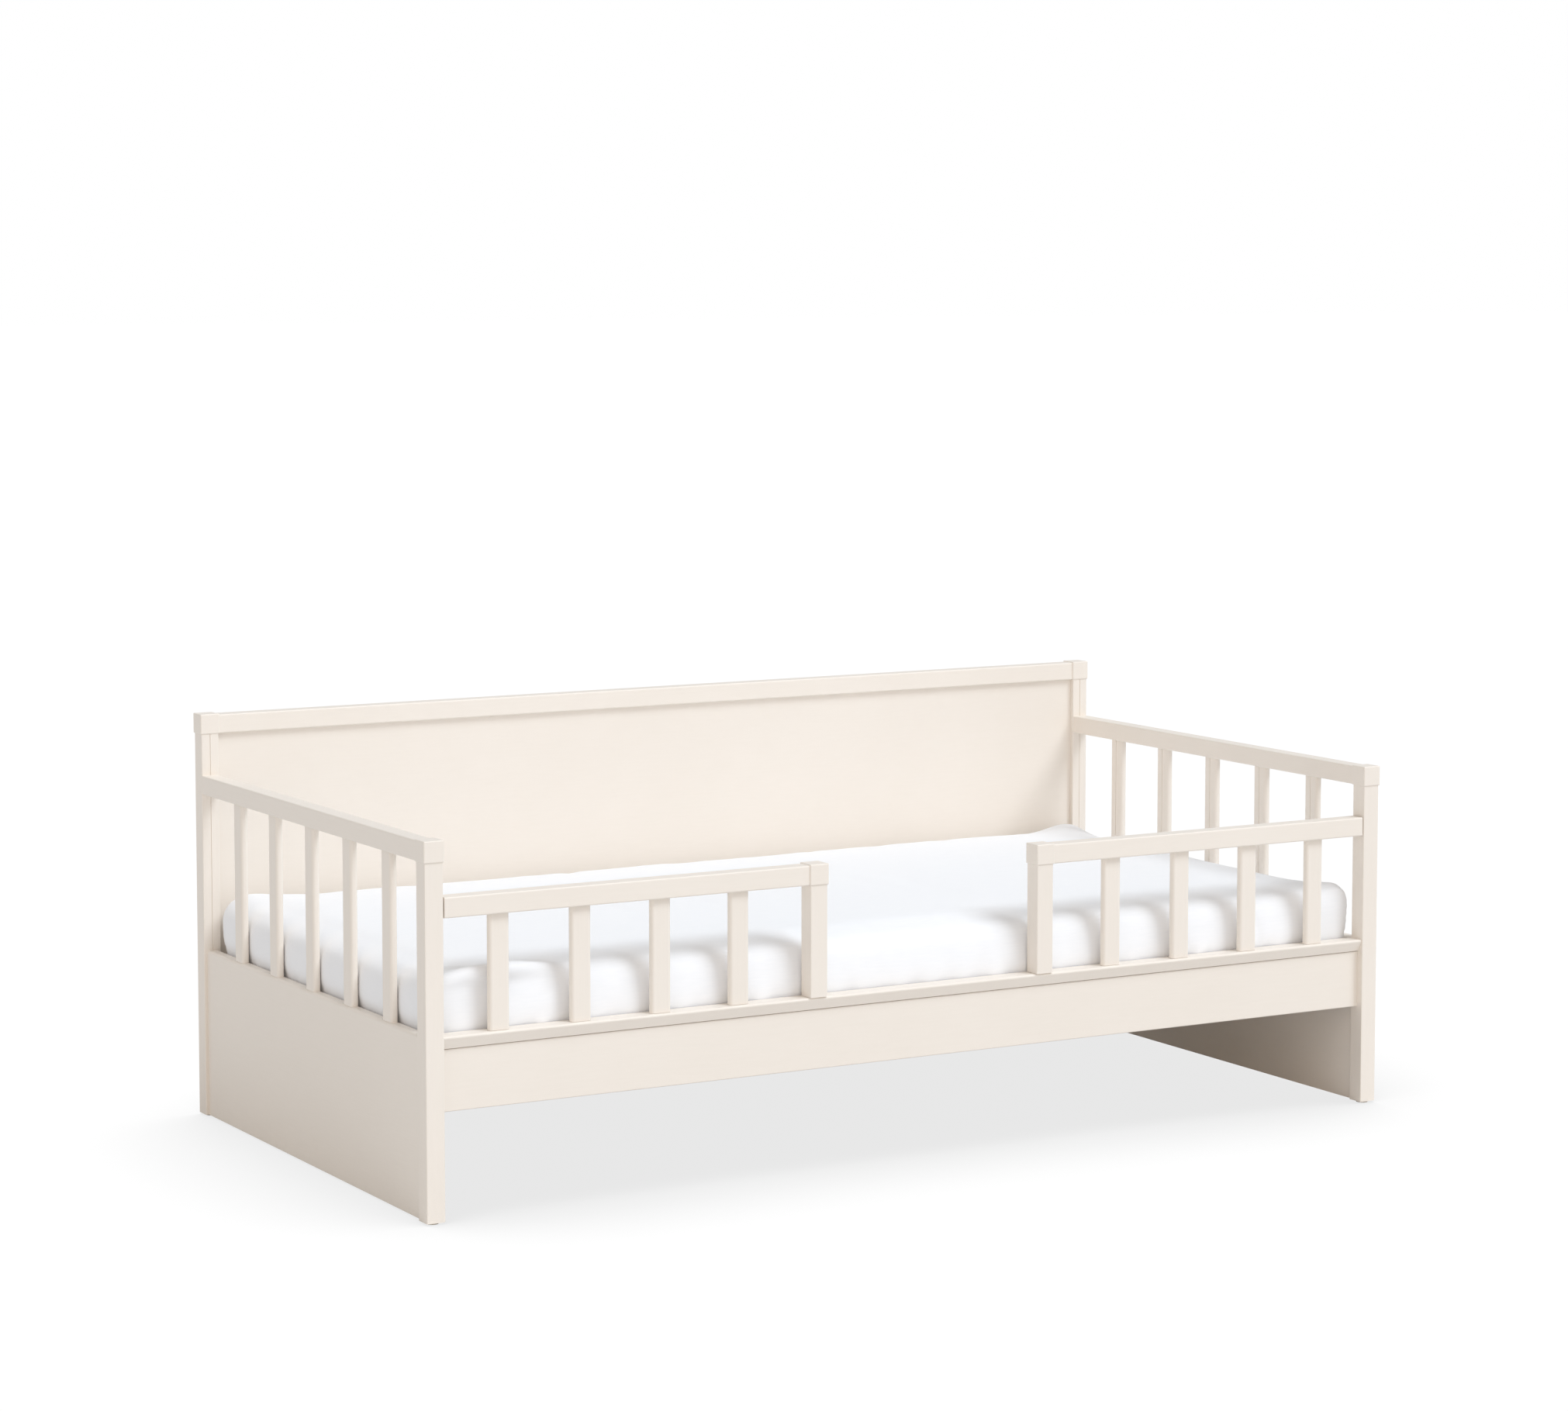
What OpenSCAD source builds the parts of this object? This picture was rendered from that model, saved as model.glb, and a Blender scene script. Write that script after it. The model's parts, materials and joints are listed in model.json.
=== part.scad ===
// Toddler bed with a panelled back, slatted ends and two front guards that lift off.
// Millimetres: +X runs along the bed, -Y is the front, +Z is up.
// The origin is on the floor, under the middle of the bed.

/* [Overall size] */
// Length over the corner posts
bed_l = 1460; // [1300:10:1700]
// Depth over the corner posts
bed_d = 750; // [680:10:900]
// Height of the back, to the top of the rear caps
back_h = 559; // [530:1:700]
// Height of the ends, to the top of the front caps
arm_h = 476; // [440:1:510]
// Height of the guards, to the top of their caps
guard_h = 406.4; // [390:0.2:430]

/* [Posts, caps and rails] */
// Side of the square posts
post_s = 25; // [24:0.5:30]
// Height of a cap block
cap_h = 27.5; // [26:0.5:34]
// How far a cap stands out past its post
cap_over = 1.4; // [1:0.1:1.6]
// Width of the arm, back and guard rails
rail_w = 24; // [22:0.5:25]
// Height of the arm, back and guard rails
rail_h = 26; // [24:0.5:30]
// Height of the glides that the posts stand on
glide_h = 2.5; // [1.5:0.5:5]

/* [Ends] */
// Thickness of the lower end panels
panel_t = 16; // [14:1:18]
// Height of the top edge of the end panels
panel_top = 232; // [225:1:240]
// Width of a spindle slat
slat_w = 28; // [20:1:30]
// Thickness of a spindle slat
slat_t = 10.5; // [9:0.5:12]

/* [Back] */
// Thickness of the back panel
back_panel_t = 10; // [8:0.5:12]
// Thickness of the lower back rail
back_foot_t = 24; // [23:0.5:28]

/* [Front] */
// Height of the top of the front ledge
ledge_top = 232.5; // [228:0.5:236]
// Thickness of the front ledge
ledge_t = 16.5; // [15:0.5:20]
// Height of the underside of the front apron and of the lower back rail
apron_z = 137; // [125:1:140]
// Thickness of the front apron
apron_t = 16; // [14:1:18]
// Setback of the apron from the front of the posts
apron_inset = 10.6; // [9:0.1:11]

/* [Base and mattress] */
// Height of the deck that the mattress lies on
deck_z = 188; // [184:1:192]
// Width of a base slat
base_slat_w = 62; // [50:1:80]
// Thickness of a base slat
base_slat_t = 15; // [12:1:20]
// Height of the top of the mattress
mattress_top = 305; // [280:1:330]

/* [Guards] */
// Gap between the two guards, where a child gets in
guard_gap = 323; // [280:1:360]
// Distance from one guard slat to the next
guard_pitch = 113; // [100:1:115]

/* [Hidden] */
$fn = 32;
END_SLATS = 5;
GUARD_SLATS = 4;
BASE_SLATS = 12;
CREAM = [0.94, 0.90, 0.84];
BEECH = [0.82, 0.68, 0.48];
STEEL = [0.70, 0.71, 0.73];
WHITE = [0.97, 0.97, 0.97];
LEFT = -1;
RIGHT = 1;
REAR = 1;
FRONT = -1;

// Edge radii
post_r = 1.2;
cap_r = 1.6;
rail_r = 2;
slat_r = 4.4;
board_r = 1.5;
panel_edge_r = 4;

// Clearances: between a peg and its bore, between loose bodies, and past a cap
fit = 0.06;
loose = 0.3;
guard_end_gap = 1.8;

// How far a cut runs past the face it opens, and a spigot into the post it grows from
past = 1;

// Centres of the posts, and the tops of the rails and posts below their caps
post_x = bed_l / 2 - post_s / 2;
post_y = bed_d / 2 - post_s / 2;
bay_x = bed_l / 2 - post_s;
bay_y = bed_d / 2 - post_s;
cap_s = post_s + 2 * cap_over;
rail_drop = cap_over;
rail_mid_drop = rail_drop + rail_h / 2;
arm_x = bed_l / 2 - rail_w / 2;
arm_bottom = arm_h - rail_drop - rail_h;
back_bottom = back_h - rail_drop - rail_h;
guard_bottom = guard_h - rail_drop - rail_h;

// Spigots under the caps, and shadow grooves
spigot_r = 6;
spigot_l = 10;
groove_w = 1;
groove_d = 0.8;

// Dowels: radius, depth into each piece, and height above the middle of a rail
dowel_r = 4;
dowel_in = 12;
dowel_rise = 5;
board_dowel_z = [150, 180];
ledge_dowel_x = [100, 345, 570];
panel_dowel_z = [40, 110, 205];

// Tenons of the spindle slats
tenon_l = 10;
tenon_w = 15;
tenon_t = 6;

// The grooves that hold the back panel, and the room left at the ends of its tongues
housing_d = 8;
housing_gap = 0.1;
foot_groove_d = 6;
tongue_gap = 0.5;
back_panel_set = 12;
back_foot_inset = 2.5;
panel_y = bay_y + back_panel_set;
foot_top = ledge_top - ledge_t;
foot_y = bed_d / 2 - back_foot_inset - back_foot_t / 2;
foot_front = foot_y - back_foot_t / 2;

// Front ledge and apron
apron_y = -bed_d / 2 + apron_inset + apron_t / 2;
apron_back = apron_y + apron_t / 2;
ledge_inset = 2;
ledge_lap = 1;
ledge_front = -bed_d / 2 + ledge_inset;
ledge_back = -bay_y + ledge_lap;
ledge_slope = 6;
ledge_r = 2.5;
ledge_foot_r = 1;
shadow_gap = 1.2;

// Cleats and base slats
cleat_s = 22;
cleat_end_gap = 80;
base_screw_edge = 18;
base_slat_gap = 2.4;
cleat_z = deck_z - base_slat_t - cleat_s / 2;
cleat_l = bed_l - 2 * cleat_end_gap;
front_cleat_y = apron_back + cleat_s / 2;
rear_cleat_y = foot_front - cleat_s / 2;
base_pitch = (cleat_l - 2 * base_screw_edge) / (BASE_SLATS - 1);
base_slat_y0 = apron_back + base_slat_gap;
base_slat_y1 = foot_front - base_slat_gap;

// Wood screws: shank, head and length
screw_r = 2;
screw_head_r = 4;
screw_head_h = 2.4;
screw_l = 34;
cleat_screw_x = [100, 300, 500];

// Corner brackets of folded steel
bracket_t = 2.5;
bracket_foot_gap = 3;
bracket_head_gap = 2;
bracket_z0 = apron_z + bracket_foot_gap;
bracket_z1 = deck_z - base_slat_t - bracket_head_gap;
bracket_reach = 55;
bracket_screw_at = [25, 45];
bracket_screw_l = 12;
bracket_head_r = 4.5;
bracket_head_h = 2.6;
panel_face = post_x - panel_t / 2;

// Glides
glide_r = 8;
glide_stem_r = 2;
glide_stem_l = 12;

// Guards
guard_post_x = guard_gap / 2 + post_s / 2;
guard_foot = ledge_top + loose;
guard_rail_x0 = guard_post_x + cap_s / 2;
guard_rail_x1 = bay_x - guard_end_gap;
pin_r = 3;
pin_up = 20;
pin_down = 14;
pin_play = 0.08;
pin_bore_r = pin_r + pin_play;

// Mattress and its fitted sheet
mattress_side_gap = 4;
mattress_x = bay_x - loose;
mattress_y = bay_y - mattress_side_gap;
mattress_corner_r = 40;
mattress_edge_r = 20;
sheet_t = 1.5;
sheet_gap = 0.1;
core_wall = 5;
sheet_hem = 70;

// ---- Shapes ----

// Rectangle w by h, centred, with corners of radius r
module round_rect(w, h, r) {
    square([w - 2 * r, h], center = true);
    square([w, h - 2 * r], center = true);
    for (x = [-1, 1], y = [-1, 1])
        translate([x * (w / 2 - r), y * (h / 2 - r)])
            circle(r);
}

// The outline lies in YZ
module along_x(x0, x1)
    translate([x0, 0, 0])
        rotate([90, 0, 90])
            linear_extrude(x1 - x0)
                children();

// The outline lies in XZ
module along_y(y0, y1)
    translate([0, y1, 0])
        rotate([90, 0, 0])
            linear_extrude(y1 - y0)
                children();

module along_z(z0, z1)
    translate([0, 0, z0])
        linear_extrude(z1 - z0)
            children();

module box(lo, hi)
    translate(lo)
        cube(hi - lo);

// Countersunk screw with its head's face at the origin, pointing along -Z
module wood_screw(gap = 0) {
    along_z(-screw_l - gap, 0)
        circle(screw_r + gap);
    translate([0, 0, -screw_head_h - gap])
        cylinder(h = screw_head_h + gap, r1 = screw_r + gap, r2 = screw_head_r + gap);
}

// Round-headed screw with its shoulder at the origin, pointing along -Z
module bracket_screw(gap = 0) {
    along_z(-bracket_screw_l - gap, gap)
        circle(screw_r + gap);
    along_z(0, bracket_head_h)
        circle(bracket_head_r);
}

// ---- Where the joints are ----

// Dowels between the rails and the posts or caps
module at_arm_dowels(side) {
    z = arm_h - rail_mid_drop + dowel_rise;
    for (y = [bay_y, -post_y + cap_s / 2])
        translate([side * arm_x, y, z])
            rotate([90, 0, 0])
                children();
}

module at_back_dowels()
    for (side = [LEFT, RIGHT])
        translate([side * (post_x - cap_s / 2), post_y, back_h - rail_mid_drop + dowel_rise])
            rotate([0, 90, 0])
                children();

// Dowels at the ends of the front ledge, the apron and the lower back rail
module at_board_dowels(y, heights)
    for (side = [LEFT, RIGHT], z = heights)
        translate([side * bay_x, y, z])
            rotate([0, 90, 0])
                children();

// Upright dowels between the apron and the ledge
module at_ledge_dowels()
    for (side = [LEFT, RIGHT], x = ledge_dowel_x)
        translate([side * x, apron_y, foot_top])
            children();

// Dowels between the end panels and the posts
module at_panel_dowels(side)
    for (end = [FRONT, REAR], z = panel_dowel_z)
        translate([side * post_x, end * bay_y, z])
            rotate([90, 0, 0])
                children();

module at_guard_dowel(side)
    translate([side * guard_rail_x0, -post_y, guard_h - rail_mid_drop + dowel_rise])
        rotate([0, 90, 0])
            children();

module at_cleat_screws(face_y, facing)
    for (side = [LEFT, RIGHT], x = cleat_screw_x)
        translate([side * x, face_y, cleat_z])
            rotate([facing * 90, 0, 0])
                children();

module at_front_cleat_screws()
    at_cleat_screws(front_cleat_y + cleat_s / 2, -1)
        children();

module at_rear_cleat_screws()
    at_cleat_screws(rear_cleat_y - cleat_s / 2, 1)
        children();

module at_base_slats()
    for (i = [0 : BASE_SLATS - 1])
        translate([(i - (BASE_SLATS - 1) / 2) * base_pitch, 0, 0])
            children();

module at_base_screws(y)
    at_base_slats()
        translate([0, y, deck_z])
            children();

module at_guard_pins(side)
    for (i = [0 : GUARD_SLATS])
        translate([side * (guard_post_x + i * guard_pitch), -post_y, guard_foot])
            children();

// Screws through one corner bracket, into the board behind it and into the end panel
module at_board_bracket_screws(side, end)
    for (reach = bracket_screw_at)
        translate([side * (panel_face - reach), bracket_board_y(end) - end * bracket_t,
                   (bracket_z0 + bracket_z1) / 2])
            rotate([end * 90, 0, 0])
                children();

module at_panel_bracket_screws(side, end)
    for (reach = bracket_screw_at)
        translate([side * (panel_face - bracket_t), bracket_board_y(end) - end * reach,
                   (bracket_z0 + bracket_z1) / 2])
            rotate([0, -side * 90, 0])
                children();

function bracket_board_y(end) = end == FRONT ? apron_back : foot_front;

// A dowel, or with a gap the bore for it
module dowel(gap = 0)
    translate([0, 0, -dowel_in - gap])
        cylinder(h = 2 * (dowel_in + gap), r = dowel_r + gap);

// ---- Posts and caps ----

// A square post with a spigot for its cap
module post_blank(x, y, z0, top)
    translate([x, y, 0]) {
        along_z(z0, top - cap_h)
            round_rect(post_s, post_s, post_r);
        along_z(top - cap_h - past, top - cap_h + spigot_l)
            circle(spigot_r);
    }

module glide_bore(x, y)
    translate([x, y, glide_h - past])
        cylinder(h = glide_stem_l + past + fit, r = glide_stem_r + fit);

module front_post(side)
    color(CREAM)
        difference() {
            post_blank(side * post_x, -post_y, glide_h, arm_h);
            glide_bore(side * post_x, -post_y);
            at_panel_dowels(side)
                dowel(fit);
            at_board_dowels(apron_y, board_dowel_z)
                dowel(fit);
        }

module rear_post(side)
    color(CREAM)
        difference() {
            post_blank(side * post_x, post_y, glide_h, back_h);
            glide_bore(side * post_x, post_y);
            at_panel_dowels(side)
                dowel(fit);
            at_board_dowels(post_y, board_dowel_z)
                dowel(fit);
            at_arm_dowels(side)
                dowel(fit);
            shadow_groove(side);
            panel_housing(side);
        }

// The thin groove down the front of a rear post
module shadow_groove(side)
    box([side * post_x - groove_w / 2, bay_y - past, panel_top],
        [side * post_x + groove_w / 2, bay_y + groove_d, back_h - cap_h + past]);

// The groove in a rear post that the edge of the back panel sits in
module panel_housing(side) {
    half = back_panel_t / 2 + housing_gap;
    translate([side * bay_x, 0, 0])
        box([-housing_d, panel_y - half, foot_top - foot_groove_d],
            [housing_d, panel_y + half, back_h - cap_h + past]);
}

// A cap block with every edge softened, and the bore for the post's spigot
module cap(x, y, top) {
    mid = top - cap_h / 2;
    difference() {
        intersection() {
            translate([x, y, 0])
                along_z(top - cap_h, top)
                    round_rect(cap_s, cap_s, cap_r);
            translate([x, 0, mid])
                along_y(y - cap_s, y + cap_s)
                    round_rect(cap_s, cap_h, cap_r);
            translate([0, y, mid])
                along_x(x - cap_s, x + cap_s)
                    round_rect(cap_s, cap_h, cap_r);
        }
        translate([x, y, top - cap_h - past])
            cylinder(h = spigot_l + past + fit, r = spigot_r + fit);
    }
}

module front_cap(side)
    color(CREAM)
        difference() {
            cap(side * post_x, -post_y, arm_h);
            at_arm_dowels(side)
                dowel(fit);
        }

module rear_cap(side)
    color(CREAM)
        difference() {
            cap(side * post_x, post_y, back_h);
            at_back_dowels()
                dowel(fit);
        }

module rear_left_post() rear_post(LEFT);
module rear_right_post() rear_post(RIGHT);
module front_left_post() front_post(LEFT);
module front_right_post() front_post(RIGHT);
module rear_left_cap() rear_cap(LEFT);
module rear_right_cap() rear_cap(RIGHT);
module front_left_cap() front_cap(LEFT);
module front_right_cap() front_cap(RIGHT);

// ---- Back ----

module back_top_rail()
    color(CREAM)
        difference() {
            translate([0, post_y, back_h - rail_mid_drop])
                along_x(-post_x + cap_s / 2, post_x - cap_s / 2)
                    round_rect(rail_w, rail_h, rail_r);
            at_back_dowels()
                dowel(fit);
            box([-bed_l, panel_y - back_panel_t / 2 - housing_gap, back_bottom - past],
                [bed_l, panel_y + back_panel_t / 2 + housing_gap, back_bottom + housing_d]);
        }

module back_panel()
    color(CREAM) {
        y0 = panel_y - back_panel_t / 2;
        y1 = panel_y + back_panel_t / 2;
        tongue = housing_d - 2 * tongue_gap;
        box([-bay_x - tongue, y0, foot_top - foot_groove_d + tongue_gap],
            [bay_x + tongue, y1, back_h - cap_h - tongue_gap]);
        box([-bay_x + 2 * cap_over, y0, foot_top], [bay_x - 2 * cap_over, y1, back_bottom + tongue]);
    }

module back_bottom_rail()
    color(CREAM)
        difference() {
            translate([0, foot_y, (apron_z + foot_top) / 2])
                along_x(-bay_x, bay_x)
                    round_rect(back_foot_t, foot_top - apron_z, board_r);
            at_board_dowels(post_y, board_dowel_z)
                dowel(fit);
            box([-bed_l, panel_y - back_panel_t / 2 - housing_gap, foot_top - foot_groove_d],
                [bed_l, panel_y + back_panel_t / 2 + housing_gap, foot_top + past]);
            at_rear_cleat_screws()
                wood_screw(fit);
            for (side = [LEFT, RIGHT])
                at_board_bracket_screws(side, REAR)
                    bracket_screw(fit);
        }

// ---- Ends ----

module arm_rail(side)
    color(CREAM)
        difference() {
            translate([side * arm_x, 0, arm_h - rail_mid_drop])
                along_y(-post_y + cap_s / 2, bay_y)
                    round_rect(rail_w, rail_h, rail_r);
            at_arm_dowels(side)
                dowel(fit);
            for (i = [1 : END_SLATS])
                end_slat_tenons(side, i, fit);
        }

module left_arm_rail() arm_rail(LEFT);
module right_arm_rail() arm_rail(RIGHT);

// A board between the posts, square at its foot and rounded along its top edge
module end_panel(side)
    color(CREAM)
        difference() {
            translate([side * post_x, 0, 0])
                along_y(-bay_y, bay_y) {
                    translate([0, (glide_h + panel_top) / 2])
                        round_rect(panel_t, panel_top - glide_h, panel_edge_r);
                    translate([-panel_t / 2, glide_h])
                        square([panel_t, panel_top / 2]);
                }
            at_panel_dowels(side)
                dowel(fit);
            for (i = [1 : END_SLATS])
                end_slat_tenons(side, i, fit);
            for (end = [FRONT, REAR])
                at_panel_bracket_screws(side, end)
                    bracket_screw(fit);
        }

module left_end_panel() end_panel(LEFT);
module right_end_panel() end_panel(RIGHT);

function end_slat_y(i) = (i - (END_SLATS + 1) / 2) * (2 * bay_y + slat_w) / (END_SLATS + 1);

module end_slat_tenons(side, i, gap = 0)
    translate([side * post_x, end_slat_y(i), 0])
        box([-tenon_t / 2 - gap, -tenon_w / 2 - gap, panel_top - tenon_l - gap],
            [tenon_t / 2 + gap, tenon_w / 2 + gap, arm_bottom + tenon_l + gap]);

// A slat with rounded edges, a tenon at each end and a thin groove on its inner face
module end_slat(side, i)
    color(CREAM) {
        difference() {
            translate([side * post_x, end_slat_y(i), 0])
                along_z(panel_top, arm_bottom)
                    round_rect(slat_t, slat_w, slat_r);
            translate([side * (post_x - slat_t / 2), end_slat_y(i), 0])
                box([-groove_d, -groove_w / 2, panel_top - past],
                    [groove_d, groove_w / 2, arm_bottom + past]);
        }
        end_slat_tenons(side, i);
    }

module left_end_slat_1() end_slat(LEFT, 1);
module left_end_slat_2() end_slat(LEFT, 2);
module left_end_slat_3() end_slat(LEFT, 3);
module left_end_slat_4() end_slat(LEFT, 4);
module left_end_slat_5() end_slat(LEFT, 5);
module right_end_slat_1() end_slat(RIGHT, 1);
module right_end_slat_2() end_slat(RIGHT, 2);
module right_end_slat_3() end_slat(RIGHT, 3);
module right_end_slat_4() end_slat(RIGHT, 4);
module right_end_slat_5() end_slat(RIGHT, 5);

// ---- Front ----

// Points of an arc about a centre
function arc(centre, r, from, to, steps) =
    [for (k = [0 : steps]) let (a = from + (to - from) * k / steps) centre + r * [cos(a), sin(a)]];

// Section of the ledge: a rounded nose at the top, and a face that slopes back below it
function ledge_outline() = concat(
    [[ledge_back, ledge_top - ledge_t], [ledge_back, ledge_top]],
    arc([ledge_front + ledge_r, ledge_top - ledge_r], ledge_r, 90, 200, 8),
    arc([ledge_front + ledge_slope + ledge_foot_r, ledge_top - ledge_t + ledge_foot_r],
        ledge_foot_r, 200, 270, 4));

module front_ledge()
    color(CREAM)
        difference() {
            along_x(-bay_x, bay_x)
                polygon(ledge_outline());
            for (side = [LEFT, RIGHT])
                at_guard_pins(side)
                    translate([0, 0, -pin_down - past])
                        cylinder(h = pin_down + 2 * past, r = pin_bore_r);
            at_ledge_dowels()
                dowel(fit);
        }

// The apron's top edge is cut back a little, which leaves a shadow line under the ledge
module front_apron()
    color(CREAM)
        difference() {
            translate([0, apron_y, (apron_z + foot_top) / 2])
                along_x(-bay_x, bay_x)
                    round_rect(apron_t, foot_top - apron_z, board_r);
            box([-bed_l, apron_y - apron_t, foot_top - shadow_gap],
                [bed_l, apron_y - apron_t / 2 + 2 * shadow_gap, foot_top + past]);
            at_board_dowels(apron_y, board_dowel_z)
                dowel(fit);
            at_ledge_dowels()
                dowel(fit);
            at_front_cleat_screws()
                wood_screw(fit);
            for (side = [LEFT, RIGHT])
                at_board_bracket_screws(side, FRONT)
                    bracket_screw(fit);
        }

// ---- Base ----

module cleat(y)
    translate([0, y, cleat_z])
        along_x(-cleat_l / 2, cleat_l / 2)
            round_rect(cleat_s, cleat_s, board_r);

module front_cleat()
    color(BEECH)
        difference() {
            cleat(front_cleat_y);
            at_front_cleat_screws()
                wood_screw(fit);
            at_base_screws(front_cleat_y)
                wood_screw(fit);
        }

module rear_cleat()
    color(BEECH)
        difference() {
            cleat(rear_cleat_y);
            at_rear_cleat_screws()
                wood_screw(fit);
            at_base_screws(rear_cleat_y)
                wood_screw(fit);
        }

module base_slats()
    color(BEECH)
        difference() {
            at_base_slats()
                translate([0, 0, deck_z - base_slat_t / 2])
                    along_y(base_slat_y0, base_slat_y1)
                        round_rect(base_slat_w, base_slat_t, board_r);
            for (y = [front_cleat_y, rear_cleat_y])
                at_base_screws(y)
                    wood_screw(fit);
        }

module corner_brackets()
    color(STEEL)
        for (side = [LEFT, RIGHT], end = [FRONT, REAR])
            difference() {
                bracket(side, end);
                at_board_bracket_screws(side, end)
                    bracket_screw(fit);
                at_panel_bracket_screws(side, end)
                    bracket_screw(fit);
            }

// An L of flat steel, one leg on the board and one on the end panel
module bracket(side, end)
    translate([side * panel_face, bracket_board_y(end), 0])
        mirror([side == LEFT ? 1 : 0, 0, 0])
            mirror([0, end == FRONT ? 1 : 0, 0])
                along_z(bracket_z0, bracket_z1)
                    polygon([[0, 0], [-bracket_reach, 0], [-bracket_reach, -bracket_t],
                             [-bracket_t, -bracket_t], [-bracket_t, -bracket_reach], [0, -bracket_reach]]);

module bracket_screws()
    color(STEEL)
        for (side = [LEFT, RIGHT], end = [FRONT, REAR]) {
            at_board_bracket_screws(side, end)
                bracket_screw();
            at_panel_bracket_screws(side, end)
                bracket_screw();
        }

module cleat_screws()
    color(STEEL) {
        at_front_cleat_screws()
            wood_screw();
        at_rear_cleat_screws()
            wood_screw();
    }

module base_slat_screws()
    color(STEEL)
        for (y = [front_cleat_y, rear_cleat_y])
            at_base_screws(y)
                wood_screw();

module rail_dowels()
    color(BEECH) {
        for (side = [LEFT, RIGHT])
            at_arm_dowels(side)
                dowel();
        at_back_dowels()
            dowel();
    }

module board_dowels()
    color(BEECH) {
        for (y = [apron_y, post_y])
            at_board_dowels(y, board_dowel_z)
                dowel();
        at_ledge_dowels()
            dowel();
    }

module panel_dowels()
    color(BEECH)
        for (side = [LEFT, RIGHT])
            at_panel_dowels(side)
                dowel();

module post_glides()
    color(WHITE)
        for (x = [-post_x, post_x], y = [-post_y, post_y])
            translate([x, y, 0]) {
                cylinder(h = glide_h, r = glide_r);
                cylinder(h = glide_h + glide_stem_l, r = glide_stem_r);
            }

// ---- Mattress ----

// The mattress's shape made smaller all over by inset, with every edge and corner rounded
module soft_block(inset) {
    x = mattress_x - inset;
    y = mattress_y - inset;
    z0 = deck_z + loose + inset;
    z1 = mattress_top - inset;
    intersection() {
        along_z(z0, z1)
            round_rect(2 * x, 2 * y, mattress_corner_r - inset);
        translate([0, 0, (z0 + z1) / 2])
            along_x(-x, x)
                round_rect(2 * y, z1 - z0, mattress_edge_r - inset);
        translate([0, 0, (z0 + z1) / 2])
            along_y(-y, y)
                round_rect(2 * x, z1 - z0, mattress_edge_r - inset);
    }
}

// The foam is left empty inside its faces, which gives it the weight of light foam
module mattress_core() {
    inset = sheet_t + sheet_gap;
    color(WHITE)
        difference() {
            soft_block(inset);
            soft_block(inset + core_wall);
        }
}

// A thin cover over the top and sides that turns in under the mattress
module fitted_sheet()
    color(WHITE)
        difference() {
            soft_block(0);
            soft_block(sheet_t);
            box([-mattress_x + sheet_hem, -mattress_y + sheet_hem, deck_z - past],
                [mattress_x - sheet_hem, mattress_y - sheet_hem, deck_z + mattress_edge_r]);
        }

// ---- Guards ----

module guard_rail(side)
    color(CREAM)
        difference() {
            translate([0, -post_y, guard_h - rail_mid_drop])
                along_x(min(side * guard_rail_x0, side * guard_rail_x1),
                        max(side * guard_rail_x0, side * guard_rail_x1))
                    round_rect(rail_w, rail_h, rail_r);
            at_guard_dowel(side)
                dowel(fit);
            for (i = [1 : GUARD_SLATS])
                guard_tenon(side, i, fit);
        }

module guard_post(side)
    color(CREAM)
        difference() {
            post_blank(side * guard_post_x, -post_y, guard_foot, guard_h);
            at_guard_pins(side)
                pin(fit);
        }

module guard_cap(side)
    color(CREAM)
        difference() {
            cap(side * guard_post_x, -post_y, guard_h);
            at_guard_dowel(side)
                dowel(fit);
        }

module guard_tenon(side, i, gap = 0)
    translate([side * (guard_post_x + i * guard_pitch), -post_y, 0])
        box([-tenon_w / 2 - gap, -tenon_t / 2 - gap, guard_bottom - past],
            [tenon_w / 2 + gap, tenon_t / 2 + gap, guard_bottom + tenon_l + gap]);

module guard_slat(side, i)
    color(CREAM) {
        difference() {
            translate([side * (guard_post_x + i * guard_pitch), -post_y, 0])
                along_z(guard_foot, guard_bottom)
                    round_rect(slat_w, slat_t, slat_r);
            at_guard_pins(side)
                pin(fit);
        }
        guard_tenon(side, i);
    }

// A steel pin, part in a guard's foot and part in the ledge
module pin(gap = 0)
    translate([0, 0, -pin_down])
        cylinder(h = pin_down + pin_up + gap, r = pin_r + gap);

module guard_pins(side)
    color(STEEL)
        at_guard_pins(side)
            pin();

module guard_dowel(side)
    color(BEECH)
        at_guard_dowel(side)
            dowel();

module left_guard_rail() guard_rail(LEFT);
module left_guard_post() guard_post(LEFT);
module left_guard_cap() guard_cap(LEFT);
module left_guard_pins() guard_pins(LEFT);
module left_guard_dowel() guard_dowel(LEFT);
module left_guard_slat_1() guard_slat(LEFT, 1);
module left_guard_slat_2() guard_slat(LEFT, 2);
module left_guard_slat_3() guard_slat(LEFT, 3);
module left_guard_slat_4() guard_slat(LEFT, 4);
module right_guard_rail() guard_rail(RIGHT);
module right_guard_post() guard_post(RIGHT);
module right_guard_cap() guard_cap(RIGHT);
module right_guard_pins() guard_pins(RIGHT);
module right_guard_dowel() guard_dowel(RIGHT);
module right_guard_slat_1() guard_slat(RIGHT, 1);
module right_guard_slat_2() guard_slat(RIGHT, 2);
module right_guard_slat_3() guard_slat(RIGHT, 3);
module right_guard_slat_4() guard_slat(RIGHT, 4);

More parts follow.
